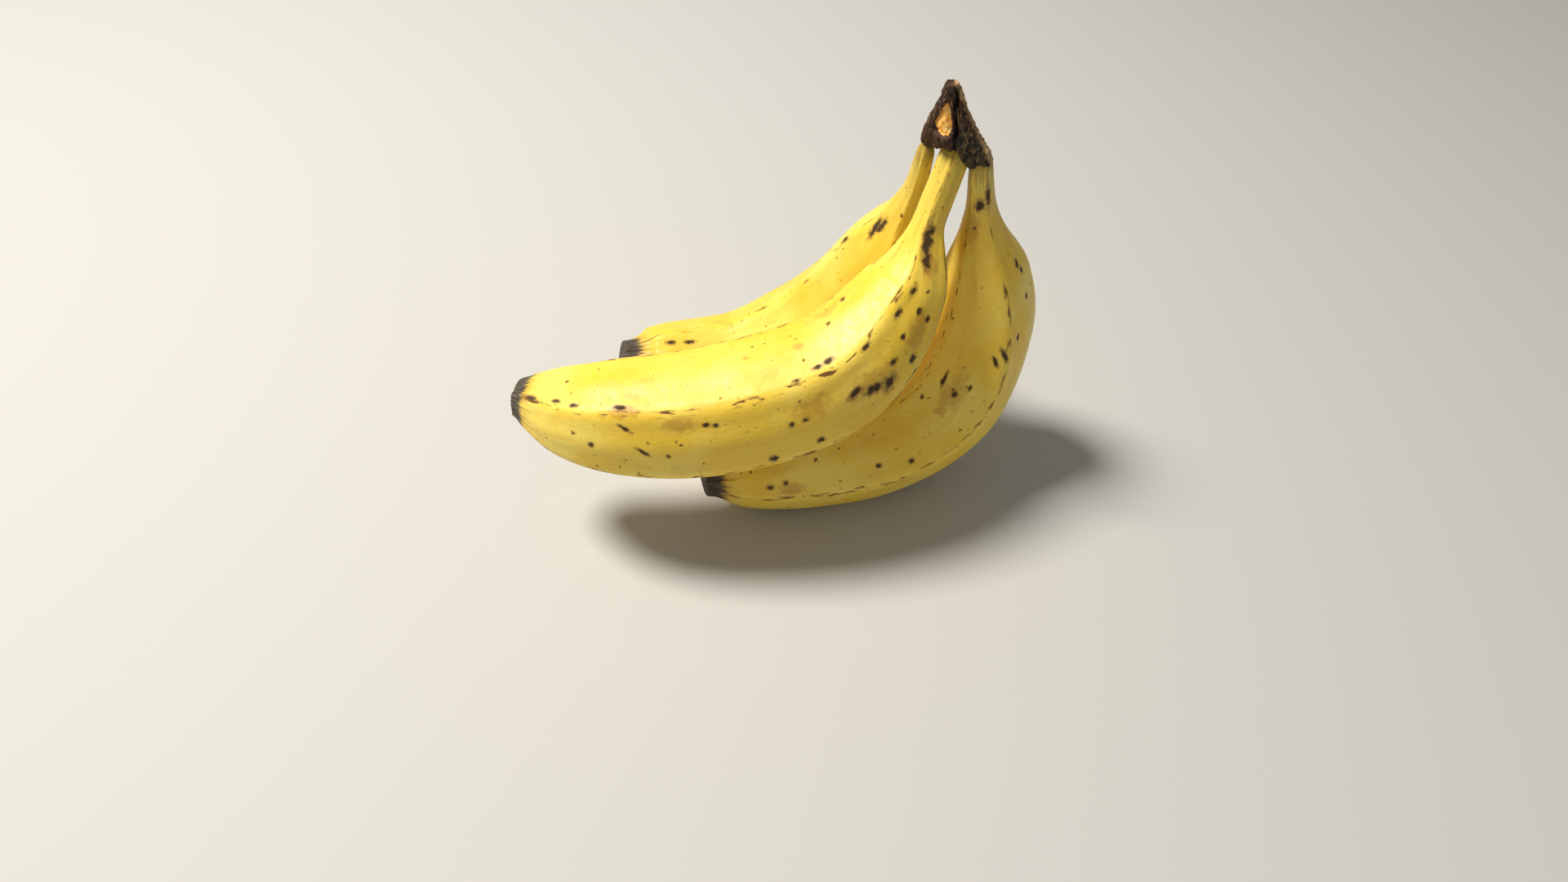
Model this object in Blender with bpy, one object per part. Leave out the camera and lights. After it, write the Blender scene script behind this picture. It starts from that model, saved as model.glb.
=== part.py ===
"""Bunch of three bananas still joined at the crown, resting on a flat surface.

Metres, +Z up. +X is the long horizontal way (crown end), the tips point to
-X, the open side of the bunch faces -Y. The origin is the bottom centre of
the whole bunch. Each banana is one grown solid; the crown is the dried pad
of stalk that holds the three necks. Nothing moves.
"""
import math

import bmesh
import bpy
from mathutils import Matrix, Vector

MM = 0.001

# ---- driving dimensions (mm) ------------------------------------------------
BODY_D = 35.0          # thickness of a banana at its fattest place
REACH = 114.0          # crown to the farthest tip, along X
NECK_D = 8.4           # thickness of a neck just under the crown
TIP_D = 10.0           # thickness of the dry flower end
CROWN_H = 18.8         # crown, from the neck cuts to its torn top
CROWN_L = 18.4         # crown, along the row of necks
CROWN_W = 10.0         # crown, across the row of necks
CROWN_TOP_D = 4.6      # crown, at the torn top
JOINT_GAP = 0.3        # clear gap left between neighbouring nodes
CONTACT_DIP = 0.45     # how far a resting belly is flattened by the table

# ---- proportions ------------------------------------------------------------
NECK_LEVEL = 3.16      # height of the neck cuts, in body thicknesses
SIDES = 30             # points around a banana
RINGS = 40             # rings along a banana
RIDGES = 5             # blunt ridges along a banana
RIDGE_RISE = 0.035     # how far a ridge stands out, as a share of the radius

# share of the body radius at points along the length (neck and tip apart)
GIRTH = (
    (0.15, 0.35), (0.24, 0.65), (0.35, 0.86), (0.50, 0.98), (0.65, 0.985),
    (0.80, 0.89), (0.90, 0.71), (0.96, 0.48),
)

# radius of a neck along its first stretch, in neck thicknesses: one that tapers
# into its body, and one that stays an even strap for longer
TAPER = ((0.0, 0.36), (0.05, 0.42), (0.10, 0.51))
STRAP = ((0.0, 0.44), (0.05, 0.47), (0.10, 0.49), (0.15, 0.56))

# Centre line of each banana from neck to tip, as (push, reach, y, z). push is in
# body thicknesses along +X: near the crown the fruits shoulder each other apart,
# so their spacing there follows their thickness. reach is the share of REACH
# from the crown towards the tips. y and z are body thicknesses, y from the
# crown and z from the table. neck is x and y in neck thicknesses.
BANANAS = {
    "banana_front": dict(
        neck=(0.21, 0.0), slim=1.00, neck_run=0.17, girth=1.00, stem=STRAP,
        line=((0, 0.022, -0.14, 2.71), (0, 0.061, -0.34, 2.21), (0, 0.215, -0.71, 1.65),
              (0, 0.487, -0.94, 1.4), (0, 0.763, -0.99, 1.34), (0, 0.978, -0.79, 1.31)),
        ridge=(0.0, -0.66, 0.75), rests=False, color=(0.86, 0.62, 0.09)),
    "banana_back": dict(
        neck=(-0.60, 0.50), slim=0.72, neck_run=0.18, girth=1.03, stem=TAPER,
        line=((-0.1726, 0, 0.2, 2.771), (-0.2703, 0, 0.42, 2.029),
              (-0.4788, 0, 0.566, 1.351), (0, 0.272, 0.657, 0.837),
              (0, 0.474, 0.58, 0.531), (0, 0.774, 0.331, 0.809)),
        ridge=(0.0, 0.74, 0.67), rests=True, color=(0.83, 0.56, 0.07)),
    "banana_right": dict(
        neck=(1.0, -0.26), slim=0.92, neck_run=0.155, girth=1.01, stem=TAPER,
        line=((0.3355, 0, -0.023, 2.686), (0.4951, 0, 0.066, 2.057),
              (0.5309, 0, 0.057, 1.486), (0.342, 0, -0.149, 0.914),
              (0, 0.039, -0.351, 0.597), (0, 0.263, -0.58, 0.497),
              (0, 0.531, -0.86, 0.503)),
        ridge=(0.55, -0.62, 0.56), rests=True, color=(0.84, 0.59, 0.08)),
}

SKIN_ROUGH = 0.48
CROWN_COLOR = (0.075, 0.045, 0.025)


def clear_scene():
    for old in list(bpy.data.objects):
        bpy.data.objects.remove(old, do_unlink=True)


def spline(points, knots, at):
    """Smooth curve through the points (Catmull-Rom with real spacing)."""
    i = max(j for j in range(len(knots) - 1) if at >= knots[j] - 1e-9)
    t0, t1 = knots[i], knots[i + 1]
    a = (at - t0) / (t1 - t0)

    def slope(j):
        lo, hi = max(j - 1, 0), min(j + 1, len(points) - 1)
        return (points[hi] - points[lo]) / (knots[hi] - knots[lo])

    m0, m1 = slope(i) * (t1 - t0), slope(i + 1) * (t1 - t0)
    p0, p1 = points[i], points[i + 1]
    return (p0 * (2 * a ** 3 - 3 * a ** 2 + 1) + m0 * (a ** 3 - 2 * a ** 2 + a)
            + p1 * (3 * a ** 2 - 2 * a ** 3) + m1 * (a ** 3 - a ** 2))


def centre_line(spec):
    """Evenly spaced points along one banana, in mm, crown at x = y = 0."""
    level = NECK_LEVEL * BODY_D
    neck = Vector((spec["neck"][0] * NECK_D, spec["neck"][1] * NECK_D, level))
    stations = [neck + Vector((0.0, 0.0, 4.0)), neck]
    stations += [Vector((push * BODY_D - reach * REACH, y * BODY_D, z * BODY_D))
                 for push, reach, y, z in spec["line"]]
    knots = [0.0]
    for a, b in zip(stations, stations[1:]):
        knots.append(knots[-1] + (b - a).length)
    fine = [spline(stations, knots, knots[-1] * k / 400.0) for k in range(401)]
    run = [0.0]
    for a, b in zip(fine, fine[1:]):
        run.append(run[-1] + (b - a).length)
    even, j = [], 0
    for k in range(RINGS):
        want = run[-1] * k / (RINGS - 1)
        while j < len(run) - 2 and run[j + 1] < want:
            j += 1
        a = (want - run[j]) / max(run[j + 1] - run[j], 1e-9)
        even.append(fine[j].lerp(fine[j + 1], a))
    return even


def radius_at(t, body_r, neck_d, spec):
    """Radius at share t of the length: neck, swelling body, dry end."""
    late = (spec["neck_run"] - GIRTH[0][0]) / (0.5 - GIRTH[0][0])
    body = [(a + late * max(0.5 - a, 0.0), g * body_r) for a, g in GIRTH]
    table = ([(a, g * neck_d) for a, g in spec["stem"]]
             + [(a, r) for a, r in body if a > spec["stem"][-1][0] + 0.04]
             + [(1.0, TIP_D / 2)])
    knots = [a for a, _ in table]
    return spline([Vector((r, 0, 0)) for _, r in table], knots, t).x


def banana_mesh(spec):
    """One banana as a closed bmesh, in mm."""
    line = centre_line(spec)
    body_r = BODY_D / 2 * spec["girth"]
    heads = []
    for k in range(RINGS):
        a, b = line[max(k - 1, 0)], line[min(k + 1, RINGS - 1)]
        heads.append((b - a).normalized())
    # carry one side direction along the line without twist
    side = heads[0].orthogonal().normalized()
    sides = [side]
    for a, b in zip(heads, heads[1:]):
        side = a.rotation_difference(b) @ side
        sides.append(side.normalized())
    mid = RINGS // 2
    want = Vector(spec["ridge"])
    want = (want - want.dot(heads[mid]) * heads[mid]).normalized()
    across = heads[mid].cross(sides[mid])
    turn = math.atan2(want.dot(across), want.dot(sides[mid]))

    bm = bmesh.new()
    rings = []
    for k, (p, h, s) in enumerate(zip(line, heads, sides)):
        t = k / (RINGS - 1)
        r = radius_at(t, body_r, NECK_D * spec["slim"], spec)
        fade = min(1.0, max(0.15, (r / body_r - 0.2) * 1.6))
        o = h.cross(s)
        ring = []
        for i in range(SIDES):
            a = 2 * math.pi * i / SIDES
            rise = 1 + RIDGE_RISE * fade * (math.cos(RIDGES * a) ** 3 - 0.15)
            v = s * math.cos(a + turn) + o * math.sin(a + turn)
            ring.append(bm.verts.new(p + v * (r * rise)))
        rings.append(ring)
    # blunt dry end: two closing rings and a shallow dimple
    h, end = heads[-1], line[-1]
    for share, push in ((0.86, 1.1), (0.55, 1.4)):
        rings.append([bm.verts.new(end + (v.co - end) * share + h * push)
                      for v in rings[RINGS - 1]])
    for a, b in zip(rings, rings[1:]):
        for i in range(SIDES):
            j = (i + 1) % SIDES
            bm.faces.new((a[i], a[j], b[j], b[i]))
    dimple = bm.verts.new(end + h * 0.9)
    for i in range(SIDES):
        bm.faces.new((rings[-1][i], rings[-1][(i + 1) % SIDES], dimple))
    bm.faces.new(tuple(reversed(rings[0])))
    return bm


def trim(bm, z, above):
    """Cut flat at height z, dropping what is above (or below) it."""
    geom = bm.verts[:] + bm.edges[:] + bm.faces[:]
    cut = bmesh.ops.bisect_plane(
        bm, geom=geom, dist=1e-5, plane_co=(0, 0, z), plane_no=(0, 0, 1),
        clear_outer=above, clear_inner=not above)
    rim = [e for e in cut["geom_cut"] if isinstance(e, bmesh.types.BMEdge)]
    bmesh.ops.holes_fill(bm, edges=rim, sides=0)


def crown_mesh():
    """The dried crown: an oval pad over the necks, tapering to a torn top."""
    base = NECK_LEVEL * BODY_D + JOINT_GAP
    turn = math.radians(-21.0)
    centre = Vector((0.22 * NECK_D, 0.04 * NECK_D, base))
    # shares of height, length and width, then the lean towards the tips
    loft = ((0.00, 1.00, 1.00, 0.00), (0.10, 0.98, 1.00, 0.02), (0.25, 0.88, 0.97, 0.07),
            (0.42, 0.62, 0.90, 0.14), (0.60, 0.41, 0.76, 0.20), (0.80, 0.24, 0.45, 0.29),
            (0.94, 0.09, 0.16, 0.35), (1.00, 0.00, 0.00, 0.36))
    n = 28
    bm, rings = bmesh.new(), []
    for k, (hh, ll, ww, lean) in enumerate(loft):
        a_len = (CROWN_TOP_D + (CROWN_L - CROWN_TOP_D) * ll) / 2
        a_wid = (CROWN_TOP_D * 0.85 + (CROWN_W - CROWN_TOP_D * 0.85) * ww) / 2
        ring = []
        for i in range(n):
            a = 2 * math.pi * i / n
            rib = 1 + 0.05 * math.cos(7 * a + 0.9 * k) * (1 - 0.4 * hh)
            p = Vector((a_len * rib * math.cos(a), a_wid * rib * math.sin(a), 0))
            p.rotate(Matrix.Rotation(turn, 3, "Z"))
            lift = CROWN_H * hh + (0.9 * math.cos(3 * a) if hh == 1.0 else 0.0)
            ring.append(bm.verts.new(centre + p + Vector((-lean * CROWN_W, 0, lift))))
        rings.append(ring)
    for a, b in zip(rings, rings[1:]):
        for i in range(n):
            j = (i + 1) % n
            bm.faces.new((a[i], a[j], b[j], b[i]))
    top = bm.verts.new(centre + Vector((-loft[-1][3] * CROWN_W, 0, CROWN_H - 0.8)))
    for i in range(n):
        bm.faces.new((rings[-1][i], rings[-1][(i + 1) % n], top))
    bm.faces.new(tuple(reversed(rings[0])))
    return bm


def skin(name, color, rough):
    mat = bpy.data.materials.new(name)
    mat.use_nodes = True
    shader = mat.node_tree.nodes["Principled BSDF"]
    shader.inputs["Base Color"].default_value = (*color, 1.0)
    shader.inputs["Roughness"].default_value = rough
    return mat


def finish_object(name, bm, mat):
    bmesh.ops.recalc_face_normals(bm, faces=bm.faces)
    mesh = bpy.data.meshes.new(name)
    bm.to_mesh(mesh)
    bm.free()
    mesh.materials.append(mat)
    obj = bpy.data.objects.new(name, mesh)
    bpy.context.scene.collection.objects.link(obj)
    return obj


def main():
    clear_scene()
    parts = {}
    for name, spec in BANANAS.items():
        bm = banana_mesh(spec)
        low = min(v.co.z for v in bm.verts)
        if spec["rests"]:
            drop = Vector((0, 0, -CONTACT_DIP - low))
            bmesh.ops.translate(bm, verts=bm.verts, vec=drop)
            trim(bm, 0.0, above=False)
        trim(bm, NECK_LEVEL * BODY_D, above=True)
        parts[name] = (bm, skin("banana_skin_" + name[7:], spec["color"], SKIN_ROUGH))
    parts["crown"] = (crown_mesh(), skin("dried_crown", CROWN_COLOR, 0.85))

    spots = [v.co for bm, _ in parts.values() for v in bm.verts]
    mid_x = (min(p.x for p in spots) + max(p.x for p in spots)) / 2
    mid_y = (min(p.y for p in spots) + max(p.y for p in spots)) / 2
    place = Matrix.Scale(MM, 4) @ Matrix.Translation((-mid_x, -mid_y, 0))
    for name, (bm, mat) in parts.items():
        bm.transform(place)
        finish_object(name, bm, mat)


main()
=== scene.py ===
# %% [markdown]
# # A small bunch of ripe bananas
# Three bananas still hang together at their crown, the dried brown pad of
# stalk that once sat on the plant. The CAD model gives the true place and
# size of every banana. This script gives them their looks: the blunt ridges,
# the freckled yellow peel, the dry black ends and the fibrous crown.

import math
import random
from types import SimpleNamespace

import bmesh
import bpy
import numpy as np
from mathutils import Matrix, Vector, noise


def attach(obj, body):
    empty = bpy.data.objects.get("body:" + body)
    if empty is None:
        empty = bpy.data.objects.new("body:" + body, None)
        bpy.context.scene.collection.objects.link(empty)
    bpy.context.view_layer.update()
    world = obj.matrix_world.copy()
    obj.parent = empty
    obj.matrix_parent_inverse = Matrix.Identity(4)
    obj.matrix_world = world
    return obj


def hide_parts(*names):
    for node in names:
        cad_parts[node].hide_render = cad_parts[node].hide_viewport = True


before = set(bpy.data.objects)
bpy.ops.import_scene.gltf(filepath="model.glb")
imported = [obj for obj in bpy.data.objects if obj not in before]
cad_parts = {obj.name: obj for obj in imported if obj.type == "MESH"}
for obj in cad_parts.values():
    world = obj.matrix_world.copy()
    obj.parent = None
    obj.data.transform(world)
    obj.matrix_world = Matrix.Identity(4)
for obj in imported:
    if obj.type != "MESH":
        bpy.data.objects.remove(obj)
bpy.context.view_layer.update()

# %% [markdown]
# Everything below is measured in millimetres, the unit a grower would use,
# and turned to metres only when a mesh is made. Colours are picked as sRGB
# hex values, as a colour picker shows them, but Blender's shaders work with
# linear light, so one function converts them.

# %% Units, colour and a node helper
MM = 0.001


def linear(hex_colour):
    """sRGB hex such as F2D14B to linear RGBA."""
    parts = [int(hex_colour[i:i + 2], 16) / 255 for i in (0, 2, 4)]
    return (*[c / 12.92 if c <= 0.04045 else ((c + 0.055) / 1.055) ** 2.4
              for c in parts], 1.0)


def add_node(tree, kind, settings=None, **links):
    """Add one node. Settings are its properties; links are its inputs, each
    a value or another node's output socket. Two_words means "Two Words"."""
    node = tree.nodes.new(kind)
    for name, value in (settings or {}).items():
        setattr(node, name, value)
    for name, value in links.items():
        key = int(name[1:]) if name[0] == "_" else name.replace("_", " ")
        if isinstance(value, bpy.types.NodeSocket):
            tree.links.new(value, node.inputs[key])
        else:
            node.inputs[key].default_value = value
    return node


print("peel yellow in linear light:", [round(c, 3) for c in linear("EBCF4A")])

# %% [markdown]
# The bunch is seen from its open side and from well above, close up, so the
# lens is wide. The camera's place is a fixed point in the same millimetres as
# the fruit.

# %% Camera
CAMERA_AT = Vector((-9.0, -228.1, 260.4))
CAMERA_LOOK = Vector((0.0346, 0.6672, -0.7441))
CAMERA_UP = Vector((-0.0310, 0.7449, 0.6665))
SENSOR_MM, LENS_MM = 36.0, 24.45


def add_camera():
    data = bpy.data.cameras.new("camera")
    data.sensor_width = SENSOR_MM
    data.lens = LENS_MM
    data.clip_start = 0.01
    camera = bpy.data.objects.new("camera", data)
    right = CAMERA_LOOK.cross(CAMERA_UP).normalized()
    up = right.cross(CAMERA_LOOK).normalized()
    turn = Matrix((right, up, -CAMERA_LOOK.normalized())).transposed()
    camera.matrix_world = Matrix.Translation(CAMERA_AT * MM) @ turn.to_4x4()
    bpy.context.scene.collection.objects.link(camera)
    bpy.context.scene.camera = camera
    return camera


camera = add_camera()
print("camera height, m:", round(camera.location.z, 3))

# %% [markdown]
# The light is a plain soft studio set: one large lamp high at the back left,
# which leaves the lower right of each banana in shade and draws its ridges,
# a wide weak lamp in front to open the shade, and a pale room.

# %% Floor and light
FLOOR_HALF_SIDE = 3.0  # m
LAMP_AIM = (0, 0, 0.05)  # m, a little above the table
ROOM_STRENGTH = 0.28


def add_floor():
    bm = bmesh.new()
    bmesh.ops.create_grid(bm, x_segments=1, y_segments=1, size=FLOOR_HALF_SIDE)
    mesh = bpy.data.meshes.new("floor")
    bm.to_mesh(mesh)
    bm.free()
    paint = bpy.data.materials.new("matt pale board")
    paint.use_nodes = True
    shader = paint.node_tree.nodes["Principled BSDF"]
    shader.inputs["Base Color"].default_value = linear("BDBDBA")
    shader.inputs["Roughness"].default_value = 0.9
    mesh.materials.append(paint)
    floor = bpy.data.objects.new("floor", mesh)
    bpy.context.scene.collection.objects.link(floor)


def add_lamp(name, at, aim, size, watts, colour):
    """A round soft lamp: place, aim and size in metres."""
    data = bpy.data.lights.new(name, "AREA")
    data.shape = "DISK"
    data.size = size
    data.energy = watts
    data.color = linear(colour)[:3]
    lamp = bpy.data.objects.new(name, data)
    lamp.location = at
    lamp.rotation_euler = (Vector(aim) - Vector(at)).to_track_quat("-Z", "Y").to_euler()
    bpy.context.scene.collection.objects.link(lamp)


add_floor()
add_lamp("key lamp", (-0.52, 0.08, 0.98), LAMP_AIM, 0.30, 17.5, "FFF9F0")
add_lamp("front fill", (0.35, -0.9, 0.55), LAMP_AIM, 0.9, 0.7, "FFF4E8")

room = bpy.data.worlds.new("pale room")
room.use_nodes = True
air = room.node_tree.nodes["Background"]
air.inputs["Color"].default_value = linear("EDEAE5")
air.inputs["Strength"].default_value = ROOM_STRENGTH
bpy.context.scene.world = room
bpy.context.scene.view_settings.view_transform = "Standard"

# %% [markdown]
# ## The bananas
# A banana is a bent tube that grows fatter from its neck and narrows to the
# dry end where the flower was. Its main line is a smooth curve through a few
# stations, the same ones as in the CAD model. Each is (push, reach, y, z): push
# along +X in body thicknesses, since near the crown the fruits shoulder each
# other apart; reach as a share of REACH towards the tips; y and z in body
# thicknesses.

# %% Sizes and stations of the three bananas
# in mm, but for NECK_LEVEL, the height of the necks' tops in body thicknesses
BODY_D = 35.0
REACH = 114.0
NECK_D = 8.4
NECK_LEVEL = 3.16
CONTACT_DIP = 0.45
CROWN_AT = Vector((39.45, 5.06, NECK_LEVEL * BODY_D))
NECK_INTO_CROWN = 4.0

# neck radius along its first stretch, in neck thicknesses: a plain taper, and
# an even strap
TAPER = ((0.0, 0.36), (0.05, 0.42), (0.10, 0.51))
STRAP = ((0.0, 0.44), (0.05, 0.47), (0.10, 0.49), (0.15, 0.56))

BANANAS = {
    "banana_front": dict(
        neck=(0.21, 0.0), slim=1.00, neck_run=0.17, girth=1.00, rests=False,
        stem=STRAP,
        line=((0, 0.022, -0.14, 2.71), (0, 0.061, -0.34, 2.21), (0, 0.215, -0.71, 1.65),
              (0, 0.487, -0.94, 1.4), (0, 0.763, -0.99, 1.34), (0, 0.978, -0.79, 1.31)),
        ridge=(0.0, -0.66, 0.75), tip=((0.978, 7.2), (0.989, 6.1), (1.0, 5.3))),
    "banana_back": dict(
        neck=(-0.60, 0.50), slim=0.72, neck_run=0.18, girth=1.03, rests=True,
        stem=TAPER,
        line=((-0.1726, 0, 0.2, 2.771), (-0.2703, 0, 0.42, 2.029),
              (-0.4788, 0, 0.566, 1.351), (0, 0.272, 0.657, 0.837),
              (0, 0.474, 0.58, 0.531), (0, 0.774, 0.331, 0.809)),
        ridge=(0.0, 0.74, 0.67), tip=((0.962, 7.6), (0.980, 5.5), (1.0, 4.6))),
    "banana_right": dict(
        neck=(1.0, -0.26), slim=0.92, neck_run=0.155, girth=1.01, rests=True,
        stem=TAPER,
        line=((0.3355, 0, -0.023, 2.686), (0.4951, 0, 0.066, 2.057),
              (0.5309, 0, 0.057, 1.486), (0.342, 0, -0.149, 0.914),
              (0, 0.039, -0.351, 0.597), (0, 0.263, -0.58, 0.497),
              (0, 0.531, -0.86, 0.503)),
        ridge=(0.55, -0.62, 0.56), tip=((0.975, 6.8), (0.986, 5.7), (1.0, 5.0))),
}

# share of the length over which a neck rounds over inside the crown
NECK_GRIP = 0.024

# share of the body radius at shares of the length, between neck and tip
GIRTH = ((0.15, 0.35), (0.24, 0.65), (0.35, 0.86), (0.50, 0.98), (0.65, 0.985),
         (0.80, 0.89), (0.90, 0.71), (0.95, 0.54))

print("stations:", {name: len(spec["line"]) for name, spec in BANANAS.items()})

# %% [markdown]
# A fruit has no corners, so both its bend and its thickness are smooth curves
# through a few values. One small function does both: it passes through every
# value, and leaves each one in the direction of its two neighbours. It works
# for points in space and for plain numbers alike.

# %% Smooth curves and girth
def knots_of(points):
    """How far along a chain of points each one is."""
    knots = [0.0]
    for a, b in zip(points, points[1:]):
        knots.append(knots[-1] + (b - a).length)
    return knots


def through(points, knots, at):
    """Point of a smooth curve through the points, at a distance along it."""
    i = max(j for j in range(len(knots) - 1) if at >= knots[j] - 1e-9)
    span = knots[i + 1] - knots[i]
    a = (at - knots[i]) / span

    def slope(j):
        lo, hi = max(j - 1, 0), min(j + 1, len(points) - 1)
        return (points[hi] - points[lo]) / (knots[hi] - knots[lo]) * span

    return (points[i] * (2 * a ** 3 - 3 * a ** 2 + 1) + slope(i) * (a ** 3 - 2 * a ** 2 + a)
            + points[i + 1] * (3 * a ** 2 - 2 * a ** 3) + slope(i + 1) * (a ** 3 - a ** 2))


def girth_at(t, spec):
    """Radius in mm at share t of the length."""
    neck_d, body_r = NECK_D * spec["slim"], BODY_D / 2 * spec["girth"]
    late = (spec["neck_run"] - GIRTH[0][0]) / (0.5 - GIRTH[0][0])
    body = [(a + late * max(0.5 - a, 0.0), g * body_r) for a, g in GIRTH]
    first, last = spec["stem"][-1][0] + 0.04, spec["tip"][0][0] - 0.01
    table = ([(a, g * neck_d) for a, g in spec["stem"]]
             + [(a, r) for a, r in body if first < a < last] + list(spec["tip"]))
    radius = through([r for _, r in table], [a for a, _ in table], t)
    # the neck rounds over where the crown grips it
    grip = max(1 - t / NECK_GRIP, 0.0)
    return radius * max(math.sqrt(1 - grip ** 2), 0.05)


print("radius at half length, mm:",
      {name: round(girth_at(0.5, spec), 1) for name, spec in BANANAS.items()})

# %% [markdown]
# The centre line is made as a chain of points that each carry two facts: how
# thick the fruit is there, and which way its first ridge looks. The direction
# is carried along the bend without twisting, as a grown ridge does. Points
# stand closer at the tip, where the shape changes fastest, and a shallow dome
# of them closes the dry end.

# %% Centre line of one banana
FINE_STEPS = 800
TIP_CROWDING = 1.25  # above 1, points stand closer towards the tip
DOME_STEPS = 14
DOME_MM = 0.9


def centre_line(spec, count=400):
    """Points in mm, radii in mm, ridge directions and shares of the length."""
    stations = [Vector((spec["neck"][0] * NECK_D, spec["neck"][1] * NECK_D, up))
                for up in (NECK_INTO_CROWN, 0.0)]
    stations += [Vector((push * BODY_D - reach * REACH, y * BODY_D,
                         (z - NECK_LEVEL) * BODY_D)) for push, reach, y, z in spec["line"]]
    stations = [p + CROWN_AT for p in stations]
    knots = knots_of(stations)
    fine = [through(stations, knots, knots[-1] * k / FINE_STEPS)
            for k in range(FINE_STEPS + 1)]
    run = np.concatenate([[0], np.cumsum([(b - a).length for a, b in zip(fine, fine[1:])])])
    shares = [1 - (1 - k / (count - 1)) ** TIP_CROWDING for k in range(count)]
    xyz = np.array([tuple(p) for p in fine])
    line = [Vector([np.interp(t * run[-1], run, xyz[:, c]) for c in range(3)]) for t in shares]
    heads = [(line[min(k + 1, count - 1)] - line[max(k - 1, 0)]).normalized()
             for k in range(count)]
    side = heads[0].orthogonal().normalized()
    sides = [side]
    for a, b in zip(heads, heads[1:]):
        side = (a.rotation_difference(b) @ side).normalized()
        sides.append(side)
    mid = min(range(count), key=lambda k: abs(shares[k] - 0.5))
    want = Vector(spec["ridge"])
    want = (want - want.dot(heads[mid]) * heads[mid]).normalized()
    turn = math.atan2(want.dot(heads[mid].cross(sides[mid])), want.dot(sides[mid]))
    sides = [Matrix.Rotation(turn, 3, h) @ s for h, s in zip(heads, sides)]
    radii = [girth_at(t, spec) for t in shares]
    # the dome
    head, end, rim = heads[-1], line[-1], radii[-1]
    for k in range(1, DOME_STEPS + 1):
        a = math.pi / 2 * k / DOME_STEPS
        line.append(end + head * (DOME_MM * math.sin(a)))
        radii.append(max(rim * math.cos(a) ** 0.8, 0.05))
        sides.append(sides[-1])
        shares.append(1.0 + 0.0005 * k)
    return line, radii, sides, shares, run[-1]


def line_object(name, spec):
    """The centre line as an object of edges that carry the fruit's facts."""
    line, radii, sides, shares, length = centre_line(spec)
    mesh = bpy.data.meshes.new(name + "_line")
    mesh.from_pydata([tuple(p * MM) for p in line],
                     [(k, k + 1) for k in range(len(line) - 1)], [])
    mesh.attributes.new("girth", "FLOAT", "POINT").data.foreach_set(
        "value", [r * MM for r in radii])
    mesh.attributes.new("share", "FLOAT", "POINT").data.foreach_set("value", shares)
    mesh.attributes.new("ridge_way", "FLOAT_VECTOR", "POINT").data.foreach_set(
        "vector", [c for s in sides for c in s])
    obj = bpy.data.objects.new(name, mesh)
    bpy.context.scene.collection.objects.link(obj)
    print(f"{name}: {length:.0f} mm along its centre line, {2 * max(radii):.1f} mm thick")
    return obj


# %% [markdown]
# Geometry Nodes turn the line into a fruit, because the shape follows a rule:
# a round section swept along the line, scaled by its girth, then pushed in
# and out. Five blunt ridges run down it, sharper on the neck than on the
# belly, slow lumps keep it from looking turned on a lathe, and fine pleats
# gather the peel where it meets the dry end. The tree also stores where each
# point is along and around the fruit, so the peel's colours can follow it.

# %% Geometry Nodes: sweep a banana along its line
SLIM, STOUT = 0.006, 0.015  # m, radii where neck ridges end and body ridges begin
PLEATS_FROM, PLEATS_FULL = 0.93, 0.985  # shares of the length
STRAIGHT_RADIUS, STRAIGHT_LENGTH = 0.0175, 0.16  # m, a banana laid straight


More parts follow.
